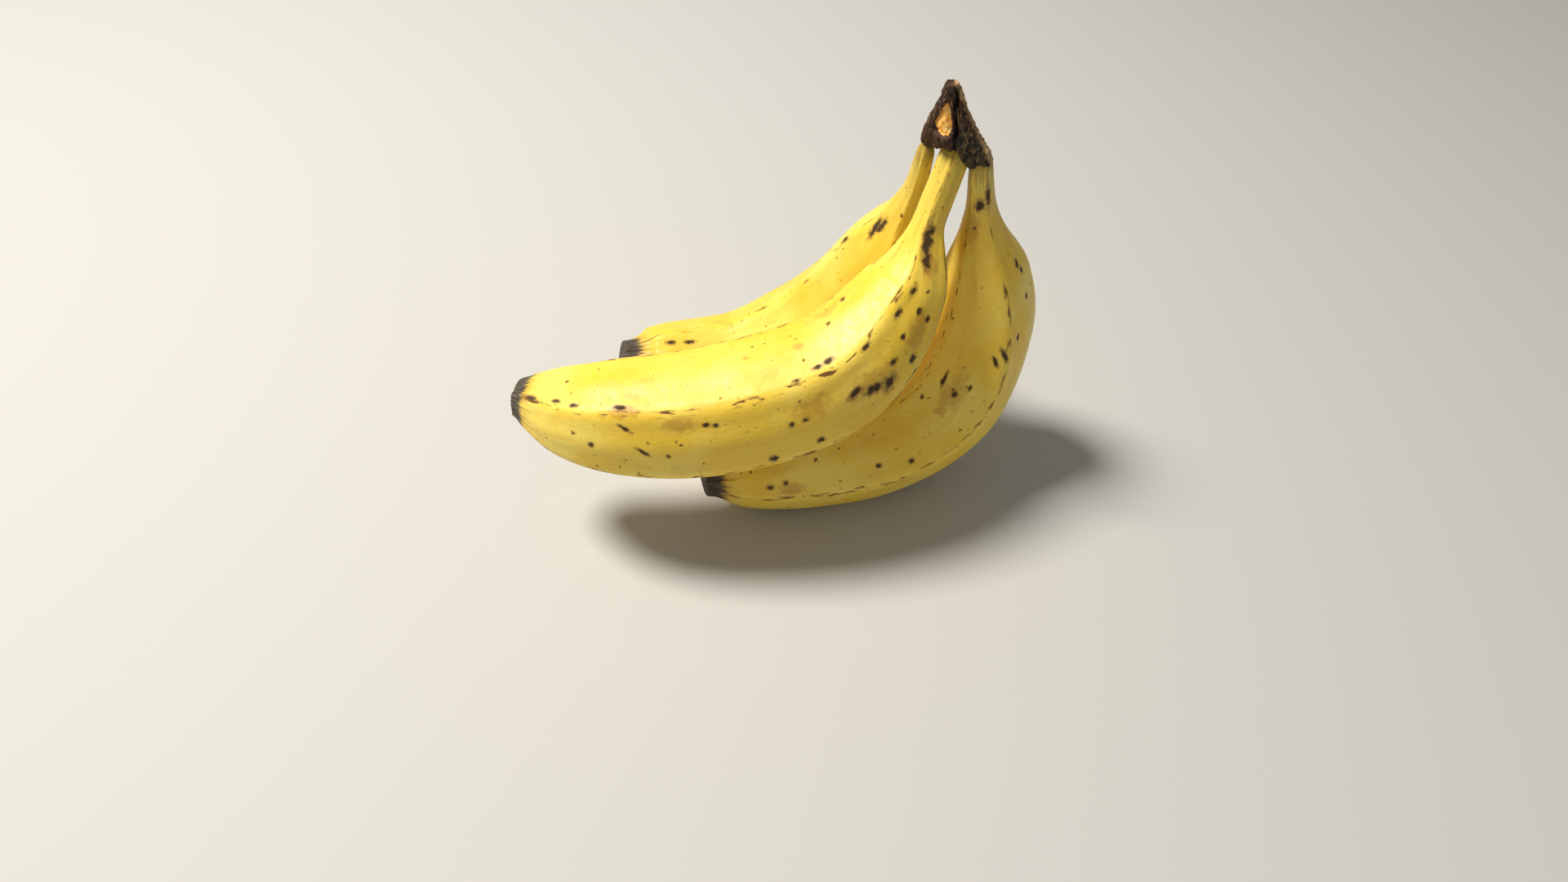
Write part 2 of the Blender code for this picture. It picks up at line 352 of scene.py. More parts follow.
def sweep_tree():
    tree = bpy.data.node_groups.new("sweep a ridged fruit", "GeometryNodeTree")
    face = tree.interface
    face.new_socket("Line", in_out="INPUT", socket_type="NodeSocketGeometry")
    for name, value in (("Sides", 200), ("Ridges", 5)):
        face.new_socket(name, in_out="INPUT", socket_type="NodeSocketInt").default_value = value
    for name in ("Ridge rise", "Neck ridge rise", "Lump rise", "Lump size", "Pleat rise",
                 "Seed"):
        face.new_socket(name, in_out="INPUT", socket_type="NodeSocketFloat")
    face.new_socket("Peel", in_out="INPUT", socket_type="NodeSocketMaterial")
    face.new_socket("Fruit", in_out="OUTPUT", socket_type="NodeSocketGeometry")
    given = tree.nodes.new("NodeGroupInput").outputs
    put = tree.nodes.new("NodeGroupOutput")

    def read(name, kind="FLOAT"):
        return add_node(tree, "GeometryNodeInputNamedAttribute",
                        {"data_type": kind}, Name=name).outputs["Attribute"]

    def calc(operation, a, b=0.0, c=0.0):
        return add_node(tree, "ShaderNodeMath", {"operation": operation},
                        _0=a, _1=b, _2=c).outputs[0]

    def keep(geometry, field, name, kind="FLOAT"):
        return add_node(tree, "GeometryNodeStoreNamedAttribute",
                        {"data_type": kind, "domain": "POINT"},
                        Geometry=geometry, Name=name, Value=field).outputs[0]

    # the line becomes a curve that knows its thickness and its ridge side
    curve = add_node(tree, "GeometryNodeMeshToCurve", _0=given["Line"]).outputs[0]
    here = add_node(tree, "GeometryNodeInputPosition").outputs[0]
    curve = keep(curve, here, "core", "FLOAT_VECTOR")
    curve = add_node(tree, "GeometryNodeSetCurveNormal", {"mode": "FREE"},
                     Curve=curve, Normal=read("ridge_way", "FLOAT_VECTOR")).outputs[0]
    curve = add_node(tree, "GeometryNodeSetCurveRadius", Curve=curve,
                     Radius=read("girth")).outputs[0]
    # the section is a unit circle whose points know their angle
    ring = add_node(tree, "GeometryNodeCurvePrimitiveCircle", Resolution=given["Sides"],
                    Radius=1.0).outputs[0]
    spot = add_node(tree, "ShaderNodeSeparateXYZ", Vector=here)
    angle = calc("ARCTAN2", spot.outputs["Y"], spot.outputs["X"])
    ring = keep(ring, angle, "turn")
    body = add_node(tree, "GeometryNodeCurveToMesh", Curve=curve, Profile_Curve=ring,
                    Scale=read("girth"), Fill_Caps=True).outputs[0]

    # ridges: sharp-topped waves around, stronger where the fruit is slim
    share, turn, girth = read("share"), read("turn"), read("girth")
    wave = calc("COSINE", calc("MULTIPLY", turn, given["Ridges"]))
    crest = calc("SUBTRACT", calc("POWER", calc("MULTIPLY_ADD", wave, 0.5, 0.5), 3.0), 0.31)
    slim = add_node(tree, "ShaderNodeMapRange", {"interpolation_type": "SMOOTHSTEP"},
                    Value=girth, _1=SLIM, _2=STOUT).outputs[0]
    rise = add_node(tree, "ShaderNodeMix", {"data_type": "FLOAT"}, Factor=slim,
                    _2=given["Neck ridge rise"], _3=given["Ridge rise"]).outputs[0]
    push = calc("MULTIPLY", crest, rise)
    # slow lumps
    where = add_node(tree, "ShaderNodeTexNoise", {"noise_dimensions": "4D"}, Vector=here,
                     W=given["Seed"], Scale=calc("DIVIDE", 1.0, given["Lump size"]), Detail=1.0)
    push = calc("ADD", push, calc("MULTIPLY", calc("SUBTRACT", where.outputs[0], 0.5),
                                  given["Lump rise"]))
    # pleats where the peel gathers onto the dry end
    near_end = add_node(tree, "ShaderNodeMapRange", {"interpolation_type": "SMOOTHSTEP"},
                        Value=share, _1=PLEATS_FROM, _2=PLEATS_FULL).outputs[0]
    pleat = add_node(tree, "ShaderNodeTexNoise", {"noise_dimensions": "2D"},
                     Vector=add_node(tree, "ShaderNodeCombineXYZ",
                                     X=calc("MULTIPLY", calc("SINE", turn), 3.0),
                                     Y=calc("MULTIPLY_ADD", calc("COSINE", turn), 3.0,
                                            given["Seed"])).outputs[0],
                     Scale=1.6, Detail=3.0).outputs[0]
    push = calc("ADD", push, calc("MULTIPLY", calc("MULTIPLY", calc("SUBTRACT", pleat, 0.5),
                                                   given["Pleat rise"]), near_end))
    out_way = add_node(tree, "ShaderNodeVectorMath", {"operation": "SUBTRACT"},
                       _0=here, _1=read("core", "FLOAT_VECTOR")).outputs[0]
    shift = add_node(tree, "ShaderNodeVectorMath", {"operation": "SCALE"},
                     _0=out_way, Scale=push).outputs[0]
    body = keep(body, wave, "ridge")
    laid_out = add_node(tree, "ShaderNodeCombineXYZ",
                        X=calc("MULTIPLY", calc("COSINE", turn), STRAIGHT_RADIUS),
                        Y=calc("MULTIPLY", calc("SINE", turn), STRAIGHT_RADIUS),
                        Z=calc("MULTIPLY", share, STRAIGHT_LENGTH)).outputs[0]
    body = keep(body, laid_out, "straight", "FLOAT_VECTOR")
    body = add_node(tree, "GeometryNodeSetPosition", Geometry=body, Offset=shift).outputs[0]
    body = add_node(tree, "GeometryNodeSetShadeSmooth", Geometry=body).outputs[0]
    body = add_node(tree, "GeometryNodeRealizeInstances", Geometry=body).outputs[0]
    body = add_node(tree, "GeometryNodeSetMaterial", Geometry=body,
                    Material=given["Peel"]).outputs[0]
    tree.links.new(body, put.inputs[0])
    return tree


def grow(obj, tree, sizes):
    """Run the tree on obj and keep the result as obj's plain mesh."""
    modifier = obj.modifiers.new("grow", "NODES")
    modifier.node_group = tree
    for item in tree.interface.items_tree:
        if item.in_out == "INPUT" and item.name in sizes:
            modifier[item.identifier] = sizes[item.name]
    ready = obj.evaluated_get(bpy.context.evaluated_depsgraph_get())
    mesh = bpy.data.meshes.new_from_object(ready)
    obj.modifiers.remove(modifier)
    old, obj.data = obj.data, mesh
    bpy.data.meshes.remove(old)
    mesh.name = obj.name
    return mesh


sweep = sweep_tree()
print("sweep inputs:", [i.name for i in sweep.interface.items_tree if i.in_out == "INPUT"])

# %% [markdown]
# ## The peel
# Ripe peel is a waxy yellow skin over soft white flesh, so a little light goes
# in and comes out warm, and the highlight is broad, not sharp. Its colour is
# never even: it is paler and greener towards the neck, has long faint fibres,
# freckles where sugar has turned brown, worn dark lines on the ridges, and a
# few deep bruises. All patterns are sized in millimetres. Those that follow
# the fruit use its straightened place, stored by the sweep, so they bend with
# the banana.

# %% Peel helpers
PEEL = dict(
    fresh="EBC63A", pale="EFD862", deep="DDB336",  # sound peel, three yellows
    neck="CDB24C", green="9DA347",                 # duller and greener at the neck
    # the soft brown is also used as painted shade on the front banana's lower right
    bruise_and_shade="B07A24", rim="6E4718",                 # soft brown, and worn brown
    dot="55300F", scab="2C1508",                   # freckles and deep scabs
    dry="3A332B", ash="6B6152")                    # the dry end and its fibres


def mix(tree, factor, a, b):
    """Mix two colours; hex text is turned to linear light."""
    a, b = [linear(c) if isinstance(c, str) else c for c in (a, b)]
    return add_node(tree, "ShaderNodeMix", {"data_type": "RGBA"},
                    _0=factor, _6=a, _7=b).outputs[2]


def calc(tree, operation, a, b=0.0, c=0.0):
    return add_node(tree, "ShaderNodeMath", {"operation": operation},
                    _0=a, _1=b, _2=c).outputs[0]


def ramp(tree, value, start, end, low=0.0, high=1.0):
    """Smooth step of value from start to end."""
    return add_node(tree, "ShaderNodeMapRange", {"interpolation_type": "SMOOTHSTEP"},
                    _0=value, _1=start, _2=end, _3=low, _4=high).outputs[0]


def read(tree, name, out="Fac"):
    """A value that the piece's own points carry."""
    return add_node(tree, "ShaderNodeAttribute", {"attribute_name": name}).outputs[out]


def grain(tree, vector, size_mm, stretch=1.0, detail=2.0, shift=0.0, out=0):
    """Noise with features of size_mm, drawn out along the fruit by stretch."""
    k = 1 / (size_mm * MM)
    where = add_node(tree, "ShaderNodeMapping", _0=vector, Location=(shift, 0, shift),
                     Scale=(k, k, k / stretch)).outputs[0]
    return add_node(tree, "ShaderNodeTexNoise", Vector=where, Scale=1.0,
                    Detail=detail).outputs[out]


def cells(tree, vector, size_mm, shift=0.0):
    """Random cells of size_mm: distance to the centre, and a random colour."""
    k = 1 / (size_mm * MM)
    where = add_node(tree, "ShaderNodeMapping", _0=vector, Location=(shift, shift, 0),
                     Scale=(k, k, k)).outputs[0]
    found = add_node(tree, "ShaderNodeTexVoronoi", Vector=where, Scale=1.0)
    pick = add_node(tree, "ShaderNodeSeparateColor", Color=found.outputs["Color"])
    return calc(tree, "MULTIPLY", found.outputs["Distance"], size_mm), pick.outputs[0], \
        pick.outputs[1]


def start_material(name):
    material = bpy.data.materials.new(name)
    material.use_nodes = True
    return material


def fresh_shader(material):
    tree = material.node_tree
    tree.nodes.clear()
    shader = tree.nodes.new("ShaderNodeBsdfPrincipled")
    end = tree.nodes.new("ShaderNodeOutputMaterial")
    tree.links.new(shader.outputs[0], end.inputs[0])
    return tree, shader


def bumps(tree, shader, layers):
    """Stack height fields, each a (field, height in mm) pair."""
    normal = None
    for field, height in layers:
        node = add_node(tree, "ShaderNodeBump", Strength=1.0, Distance=height * MM,
                        Height=field)
        if normal:
            tree.links.new(normal, node.inputs["Normal"])
        normal = node.outputs[0]
    tree.links.new(normal, shader.inputs["Normal"])


print("peel colours:", len(PEEL))

# %% [markdown]
# The peel's colour is laid down in the order in which the fruit gets it: the
# yellow of sound peel, the duller neck, soft bruises, worn ridges, freckles
# and scabs, and last the dead flower end. Each layer is a function of its own
# that takes the colour so far and mixes one flaw into it. First comes the
# sound peel, three yellows in slow patches with faint fibres along the fruit.

# %% Sound peel
def start_peel(material, seed):
    """A fresh shader, and the places that the patterns are read from."""
    tree, shader = fresh_shader(material)
    place = add_node(tree, "ShaderNodeTexCoord").outputs["Object"]
    wobble = grain(tree, place, 2.2, detail=3.0, shift=seed)
    return SimpleNamespace(
        tree=tree, shader=shader, seed=seed, place=place, wobble=wobble,
        along=read(tree, "share"), straight=read(tree, "straight", "Vector"),
        ridge=read(tree, "ridge"), fray=calc(tree, "MULTIPLY_ADD", wobble, 2.0, -1.0))


def sound_peel(on):
    """Yellow, slowly paler and deeper. Also gives the fibres, for the bumps."""
    tree, seed = on.tree, on.seed
    slow = ramp(tree, grain(tree, on.place, 22.0, detail=2.0, shift=seed), 0.35, 0.68)
    colour = mix(tree, slow, PEEL["fresh"], PEEL["pale"])
    patch = ramp(tree, grain(tree, on.straight, 6.0, 3.0, 3.0, seed + 4), 0.50, 0.75)
    colour = mix(tree, calc(tree, "MULTIPLY", patch, 0.55), colour, PEEL["deep"])
    fibre = grain(tree, on.straight, 0.7, 14.0, 3.0, seed)
    faint = calc(tree, "MULTIPLY", ramp(tree, fibre, 0.52, 0.75, 0.0, 0.26),
                 ramp(tree, on.along, 0.02, 0.22, 0.35, 1.0))
    colour = mix(tree, faint, colour, PEEL["deep"])
    pores = grain(tree, on.place, 0.9, detail=3.0, shift=seed + 2)
    return mix(tree, ramp(tree, pores, 0.45, 0.72, 0.0, 0.22), colour, PEEL["deep"]), fibre


print("peel yellows:", PEEL["fresh"], PEEL["pale"], PEEL["deep"])

# %% [markdown]
# The neck ripens last. It stays duller and greener, above all in the valleys
# between its ridges, and sap has dried in brown runs down from the crown.

# %% Duller neck
def dull_neck(on, colour, stained):
    """Duller, greener peel near the crown, with brown runs."""
    tree, along = on.tree, on.along
    neck = ramp(tree, calc(tree, "MULTIPLY_ADD", on.fray, 0.03, along), 0.20, 0.05)
    colour = mix(tree, calc(tree, "MULTIPLY", neck, 0.5), colour, PEEL["neck"])
    valleys = calc(tree, "MULTIPLY", ramp(tree, along, 0.12, 0.03),
                   ramp(tree, on.ridge, 0.0, -0.9, 0.0, 0.3))
    colour = mix(tree, valleys, colour, PEEL["green"])
    run = grain(tree, on.straight, 2.0, 4.5, 3.0, on.seed + 7)
    reach = calc(tree, "MULTIPLY_ADD", run, 0.13, -0.035)
    stain = ramp(tree, calc(tree, "SUBTRACT", along, reach), 0.015, -0.02)
    return mix(tree, calc(tree, "MULTIPLY", stain, stained), colour, PEEL["rim"])


print("neck colours:", PEEL["neck"], PEEL["green"])

# %% [markdown]
# Knocks leave soft brown clouds under the skin, and bananas rub against each
# other on their ridges, which leaves broken dark lines there. The listed rubs
# add more soft brown, and on the front banana's lower right they are partly
# painted shade. The ridge value stored by the sweep is 1 on a crest, so a line
# needs no drawing.

# %% Bruises, painted shade and worn ridges
def bruises_and_shade(on, colour, ripeness):
    """Soft clouds, and the listed rubs, which on the front banana are partly painted shade."""
    tree = on.tree
    cloud = ramp(tree, grain(tree, on.straight, 9.0, 2.2, 4.0, on.seed + 11), 0.60, 0.78)
    colour = mix(tree, calc(tree, "MULTIPLY", cloud, 0.30 * ripeness), colour,
                 PEEL["bruise_and_shade"])
    # the listed rubs: brown marks, and on the front banana's lower right partly painted shade
    rub_and_shade = ramp(tree, calc(tree, "MULTIPLY_ADD", on.fray, 0.9, read(tree, "rub_and_shade")), 1.15, 0.35)
    return mix(tree, calc(tree, "MULTIPLY", rub_and_shade, 0.5), colour, PEEL["bruise_and_shade"])


def worn_ridges(on, colour, ripeness):
    """Broken brown lines on the crests. Also gives their mask."""
    tree = on.tree
    crest = ramp(tree, calc(tree, "MULTIPLY_ADD", on.fray, 0.05, on.ridge), 0.93, 0.998)
    broken = ramp(tree, grain(tree, on.straight, 1.5, 4.0, 4.0, on.seed + 17), 0.53, 0.62)
    worn = calc(tree, "MULTIPLY", calc(tree, "MULTIPLY", crest, broken), 0.8 * ripeness)
    return mix(tree, worn, colour, PEEL["rim"]), worn


print("bruised and worn colours:", PEEL["bruise_and_shade"], PEEL["rim"])

# %% [markdown]
# Sugar freckles are random cells, of which only some hold a dot. Their
# coordinates are shaken first, because real freckles are never quite round,
# and each fades from brown at its edge to dark in its middle. Deep scabs are
# read from the marks stored on the mesh, with a browned rim around them.

# %% Freckles and scabs
# three sizes of freckle: cell in mm, share of the cells that have one, radius in mm
FRECKLES = ((3.2, 0.42, 0.45), (6.5, 0.42, 0.80), (2.0, 0.34, 0.25))
FRECKLE_SHAKE = (1.6 * MM,) * 3


def freckles(on, colour, ripeness):
    """Brown dots, most of them small. Also gives their mask."""
    tree = on.tree
    shaken = add_node(tree, "ShaderNodeVectorMath", {"operation": "MULTIPLY_ADD"},
                      _0=grain(tree, on.place, 1.1, detail=3.0, shift=on.seed, out=1),
                      _1=FRECKLE_SHAKE, _2=on.place).outputs[0]
    dots = None
    for size, share_kept, radius in FRECKLES:
        away, pick, grow_by = cells(tree, shaken, size, on.seed + size)
        reach = calc(tree, "MULTIPLY", calc(tree, "MULTIPLY_ADD", grow_by, 0.8, 0.35), radius)
        reach = calc(tree, "MULTIPLY_ADD", on.fray, 0.35 * radius, reach)
        inside = calc(tree, "MULTIPLY",
                      ramp(tree, calc(tree, "SUBTRACT", away, reach), 0.16, -0.26),
                      calc(tree, "LESS_THAN", pick, share_kept * ripeness))
        dots = inside if dots is None else calc(tree, "MAXIMUM", dots, inside)
    return mix(tree, calc(tree, "MULTIPLY", dots, 0.85), colour,
               mix(tree, dots, PEEL["bruise_and_shade"], PEEL["dot"])), dots


def scabs(on, colour):
    """Deep scabs, black-brown inside and browned around. Also gives their mask."""
    tree = on.tree
    torn_edge = calc(tree, "MULTIPLY_ADD", grain(tree, on.place, 1.3, detail=4.0, shift=on.seed),
                     1.6, -0.8)
    scab = calc(tree, "ADD", torn_edge, calc(tree, "MULTIPLY_ADD", on.fray, 0.5,
                                             read(tree, "scab")))
    halo, core = ramp(tree, scab, 1.8, 0.85), ramp(tree, scab, 1.06, 0.55)
    colour = mix(tree, calc(tree, "MULTIPLY", halo, 0.60), colour, PEEL["rim"])
    return mix(tree, calc(tree, "MULTIPLY", core, 0.92), colour, PEEL["scab"]), core


print("freckle radii, mm:", [radius for _, _, radius in FRECKLES])

# %% [markdown]
# At the far end the flower has died back to a grey-black fibrous stub, and
# the peel just before it is browned. All layers then meet in one shader. Wax
# makes sound peel softly glossy, and it is broken where the peel is dotted,
# scabbed or dry, so the flaws are rougher. A little light goes under the skin
# and comes out warm. The bumps are fractions of a millimetre deep.

# %% Dry end, and the whole peel
def dry_end(on, colour):
    """Browned peel, then the dead stub. Also gives the stub's mask."""
    tree = on.tree
    ragged = calc(tree, "MULTIPLY_ADD", grain(tree, on.straight, 1.1, 5.0, 3.0, on.seed), 0.030,
                  calc(tree, "SUBTRACT", on.along, 0.015))
    colour = mix(tree, ramp(tree, ragged, 0.945, 0.975, 0.0, 0.4), colour, PEEL["bruise_and_shade"])
    stub = ramp(tree, ragged, 0.968, 0.982)
    ash = mix(tree, ramp(tree, grain(tree, on.straight, 0.5, 6.0, 3.0, on.seed), 0.45, 0.65),
              PEEL["dry"], PEEL["ash"])
    return mix(tree, stub, colour, ash), stub


def paint_peel(material, seed, ripeness, stained):
    """Waxy ripe peel. ripeness turns up its freckles, clouds and worn lines,
    stained the brown runs under the crown."""
    on = start_peel(material, seed)
    tree, shader = on.tree, on.shader
    colour, fibre = sound_peel(on)
    colour = dull_neck(on, colour, stained)
    colour = bruises_and_shade(on, colour, ripeness)
    colour, worn = worn_ridges(on, colour, ripeness)
    colour, dots = freckles(on, colour, ripeness)
    colour, core = scabs(on, colour)
    colour, stub = dry_end(on, colour)
    tree.links.new(colour, shader.inputs["Base Color"])

    # waxy where sound, duller where flawed
    flaw = calc(tree, "MAXIMUM", calc(tree, "MAXIMUM", dots, core),
                calc(tree, "MAXIMUM", stub, worn))
    tree.links.new(calc(tree, "ADD", ramp(tree, flaw, 0.0, 1.0, 0.0, 0.30),
                        ramp(tree, on.wobble, 0.3, 0.7, 0.40, 0.50)),
                   shader.inputs["Roughness"])
    shader.inputs["IOR"].default_value = 1.45  # plant wax
    shader.inputs["Subsurface Weight"].default_value = 0.10
    shader.inputs["Subsurface Radius"].default_value = (1.0, 0.62, 0.15)
    shader.inputs["Subsurface Scale"].default_value = 3.0 * MM
    bumps(tree, shader, [(grain(tree, on.place, 5.0, detail=3.0, shift=seed), 0.22),
                         (fibre, 0.045), (grain(tree, on.place, 0.45, detail=2.0), 0.03),
                         (flaw, -0.06)])


print("peel layers: sound, neck, bruises, ridges, freckles, scabs, dry end")

# %% [markdown]
# No two bananas are marked alike. The deep scabs and rubs of each are listed
# as a place on the fruit: share of the length, degrees around it from
# its first ridge, length and width in mm, and a lean in degrees. On the front
# banana some of the rubs are partly painted shade. The rest, freckles, fibres
# and worn ridge lines, grows from the pattern's own rules.

# %% Where each banana is marked
MARKS = {
    "banana_front": dict(seed=1.3, ripeness=1.45, stained=0.3, scabs=(
        (0.16, -18, 8.0, 2.8, 0), (0.19, -24, 5.0, 2.2, 10), (0.245, -15, 3.0, 1.5, 0),
        (0.29, -10, 2.8, 1.4, 0), (0.32, -30, 2.0, 1.3, 0), (0.27, -35, 1.9, 1.3, 0),
        (0.275, -52, 1.8, 1.3, 0), (0.34, -58, 2.6, 1.7, 20), (0.325, -78, 2.2, 1.6, 0),
        (0.36, -38, 2.4, 1.6, 0), (0.37, -4, 2.6, 1.3, 0), (0.385, -50, 4.8, 3.4, 30),
        (0.405, -42, 5.4, 2.4, -15), (0.43, -30, 4.2, 2.0, 10), (0.44, 9, 3.2, 1.4, 0),
        (0.465, 9, 2.6, 1.2, 0), (0.51, 5, 2.4, 1.2, 0), (0.505, -60, 2.2, 1.7, 0),
        (0.52, -31, 1.6, 1.3, 0), (0.54, -31, 1.8, 1.5, 0), (0.58, -63, 2.4, 1.9, 0),
        (0.655, -14, 1.5, 1.2, 0), (0.67, -12, 1.7, 1.2, 0), (0.77, -38, 3.8, 1.1, -35),
        (0.795, -13, 3.6, 1.0, -35), (0.80, 7, 3.8, 1.4, 0), (0.845, -34, 2.0, 1.5, 0),
        (0.87, 7, 2.4, 1.1, 0), (0.90, 9, 2.4, 1.1, 0), (0.955, 5, 6.5, 1.5, 0)),
        # the stains at shares 0.41, 0.30 and 0.20 lie on the front banana's lower right: partly
        # brown peel, partly painted shade
        stains_and_shade=((0.41, -32, 16.0, 8.0, 0), (0.50, -22, 12.0, 7.0, 0), (0.715, -9, 10.0, 5.0, 0),
                (0.80, 4, 12.0, 4.5, 0), (0.48, 36, 4.0, 2.2, 0), (0.585, 41, 3.0, 1.8, 0),
                (0.30, -45, 14.0, 7.0, 0), (0.20, -35, 12.0, 5.0, 0))),
    "banana_back": dict(seed=5.9, ripeness=1.0, stained=0.6, scabs=(
        (0.205, -92, 7.0, 1.8, 15), (0.19, -100, 4.0, 1.7, 0), (0.28, -70, 2.2, 1.2, 0),
        (0.36, -50, 2.0, 1.2, 0), (0.42, -46, 1.6, 1.1, 0), (0.89, -88, 3.0, 1.3, 0),
        (0.925, -88, 2.8, 1.3, 0), (0.55, 60, 3.0, 2.0, 0), (0.35, 110, 4.0, 1.8, 0)),
        stains_and_shade=((0.57, -36, 16.0, 3.0, 0), (0.67, -30, 12.0, 3.0, 0), (0.45, 80, 14.0, 7.0, 0))),
    "banana_right": dict(seed=9.1, ripeness=1.15, stained=0.5, scabs=(
        (0.08, 30, 3.0, 2.2, 0), (0.065, -5, 5.5, 1.5, 0), (0.21, -38, 2.2, 1.3, 0),
        (0.23, -41, 2.2, 1.3, 0), (0.28, -38, 1.7, 1.2, 0), (0.34, -14, 1.8, 1.2, 0),
        (0.365, 4, 4.2, 1.4, 30), (0.385, 11, 3.4, 1.3, 30), (0.465, 54, 5.0, 1.0, 0),
        (0.485, 38, 1.8, 1.4, 0), (0.46, 27, 1.5, 1.1, 0), (0.64, 13, 1.9, 1.6, 0),
        (0.70, 20, 1.7, 1.4, 0), (0.90, 16, 1.9, 1.4, 0), (0.875, 20, 1.9, 1.4, 0),
        (0.40, -95, 5.0, 2.4, 0), (0.60, -70, 3.0, 1.8, 0)),
        stains_and_shade=((0.865, 10, 9.0, 5.0, 0), (0.53, 40, 5.0, 4.5, 0), (0.48, 40, 14.0, 8.0, 0),
                (0.12, 60, 16.0, 5.0, 0))),
}


FRUIT_LENGTH, FRUIT_RADIUS = 160, 17  # mm, to weigh a step along against one around
MARK_REACH_UP = 4.0  # mm, so that a mark stays on its own side of the fruit


def store_marks(mesh, name, marks):
    """Store how far each point is from the nearest mark, where 1 is its edge."""
    count = len(mesh.vertices)

    def field(layer, kind, size=1):
        values = np.empty(count * size, dtype=np.float32)
        mesh.attributes[layer].data.foreach_get(kind, values)
        return values.reshape(count, size) if size > 1 else values

    place, core = field("position", "vector", 3) / MM, field("core", "vector", 3) / MM
    share, turn = field("share", "value"), field("turn", "value")

    def nearest(at, angle):
        off = np.angle(np.exp(1j * (turn - math.radians(angle))))
        return int(np.argmin(((share - at) * FRUIT_LENGTH) ** 2 + (off * FRUIT_RADIUS) ** 2))

    best = np.full(count, 9.0)
    for at, angle, long_mm, wide_mm, lean in marks:
        here = nearest(at, angle)
        up = Vector(place[here] - core[here]).normalized()
        along = Vector(place[nearest(at + 0.012, angle)] - place[nearest(at - 0.012, angle)])
        along = (along - along.dot(up) * up).normalized()
        along.rotate(Matrix.Rotation(math.radians(lean), 3, up))
        off = place - place[here]
        best = np.minimum(best, np.sqrt((off @ np.array(along) / (long_mm / 2)) ** 2
                                        + (off @ np.array(up.cross(along)) / (wide_mm / 2)) ** 2
                                        + (off @ np.array(up) / MARK_REACH_UP) ** 2))
    mesh.attributes.new(name, "FLOAT", "POINT").data.foreach_set("value", best)


print("marks:", {n: (len(m["scabs"]), len(m["stains_and_shade"])) for n, m in MARKS.items()})

# %% [markdown]
# Each banana is grown from its own line and seed, so they match in kind but
# not in detail. The two that carry the bunch rest on the board: they are
# lowered until the belly just flattens, as soft fruit does under its weight.

# %% Grow, seat and paint the three bananas
SWEEP_SIZES = {"Sides": 200, "Ridges": 5, "Ridge rise": 0.085, "Neck ridge rise": 0.09,
               "Lump rise": 0.055, "Lump size": 0.03, "Pleat rise": 0.22}


def seat_on_table(mesh):
    """Lower the fruit until its belly is pressed flat by CONTACT_DIP."""
    place = np.empty(len(mesh.vertices) * 3)
    mesh.vertices.foreach_get("co", place)
    height = place[2::3]
    height -= height.min() + CONTACT_DIP * MM
    np.maximum(height, 0.0, out=height)
    mesh.vertices.foreach_set("co", place)
    mesh.update()


for node, spec in BANANAS.items():
    marks = MARKS[node]
    fruit = line_object(node.replace("banana", "peel"), spec)
    skin = start_material("waxy ripe peel " + node[7:])
    mesh = grow(fruit, sweep, {**SWEEP_SIZES, "Seed": marks["seed"], "Peel": skin})
    if spec["rests"]:
        seat_on_table(mesh)
    store_marks(mesh, "scab", marks["scabs"])
    store_marks(mesh, "rub_and_shade", marks["stains_and_shade"])
    paint_peel(skin, marks["seed"], marks["ripeness"], marks["stained"])
    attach(fruit, "root")
    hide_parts(node)
    print(f"{fruit.name}: {len(mesh.polygons)} faces, {len(skin.node_tree.nodes)} shader nodes")

# %% [markdown]
# ## The crown
# The three necks grow out of one pad of stalk. Cut from its stem and dried,
# it has shrunk to brown-black fibrous strands that run from each neck up to
# one torn knob. On the open side a fourth fruit was pulled away and left a
# tan window of bare pith, with a deep crease beside it that is painted
# near-black as painted shade. The strands are tapering ropes fused by a voxel
# remesh, then grooved along their fibres, because that keeps the crevices
# where ropes meet.

# %% Crown strands, fused
# each stop: x and y from the front neck in mm, height above the table, radius
STRANDS = {
    "front": ((0.9, 0.0, 113.7, 4.2), (0.0, -0.1, 115.5, 4.1), (-1.5, 0.0, 119.5, 3.3),
              (-1.9, 0.2, 124.0, 2.6), (-2.0, 0.4, 128.0, 2.2), (-1.9, 0.5, 130.2, 1.5)),
    "back": ((-4.3, 4.0, 111.3, 2.3), (-4.3, 3.1, 114.3, 2.6), (-3.7, 1.9, 119.0, 2.6),
             (-2.8, 0.9, 124.0, 2.1), (-2.1, 0.6, 129.0, 1.5)),
    "right": ((8.2, -2.1, 110.6, 3.05), (7.0, -1.9, 113.0, 3.1), (4.8, -1.6, 115.9, 3.1),
              (2.7, -1.0, 119.5, 2.75), (0.6, -0.4, 124.0, 1.95), (-1.0, 0.3, 128.8, 1.5)),
    "web right": ((6.0, -2.6, 109.4, 2.0), (4.3, -1.9, 113.0, 2.9), (0.4, -0.4, 121.0, 2.4)),
    "web left": ((-2.8, 2.2, 112.2, 2.5), (-2.6, 1.6, 116.0, 2.7), (-2.2, 0.8, 121.0, 2.3)),
}


def strand_path(stops):
    """Points, radii and knots of one strand, in mm."""
    points = [Vector(s[:3]) + Vector((CROWN_AT.x, CROWN_AT.y, 0)) for s in stops]
    return points, [s[3] for s in stops], knots_of(points)


def skin_rings(bm, rings):
    """Close a stack of rings into a tube, all but its two ends."""
    for a, b in zip(rings, rings[1:]):
        for i in range(len(a)):
            j = (i + 1) % len(a)
            bm.faces.new((a[i], a[j], b[j], b[i]))


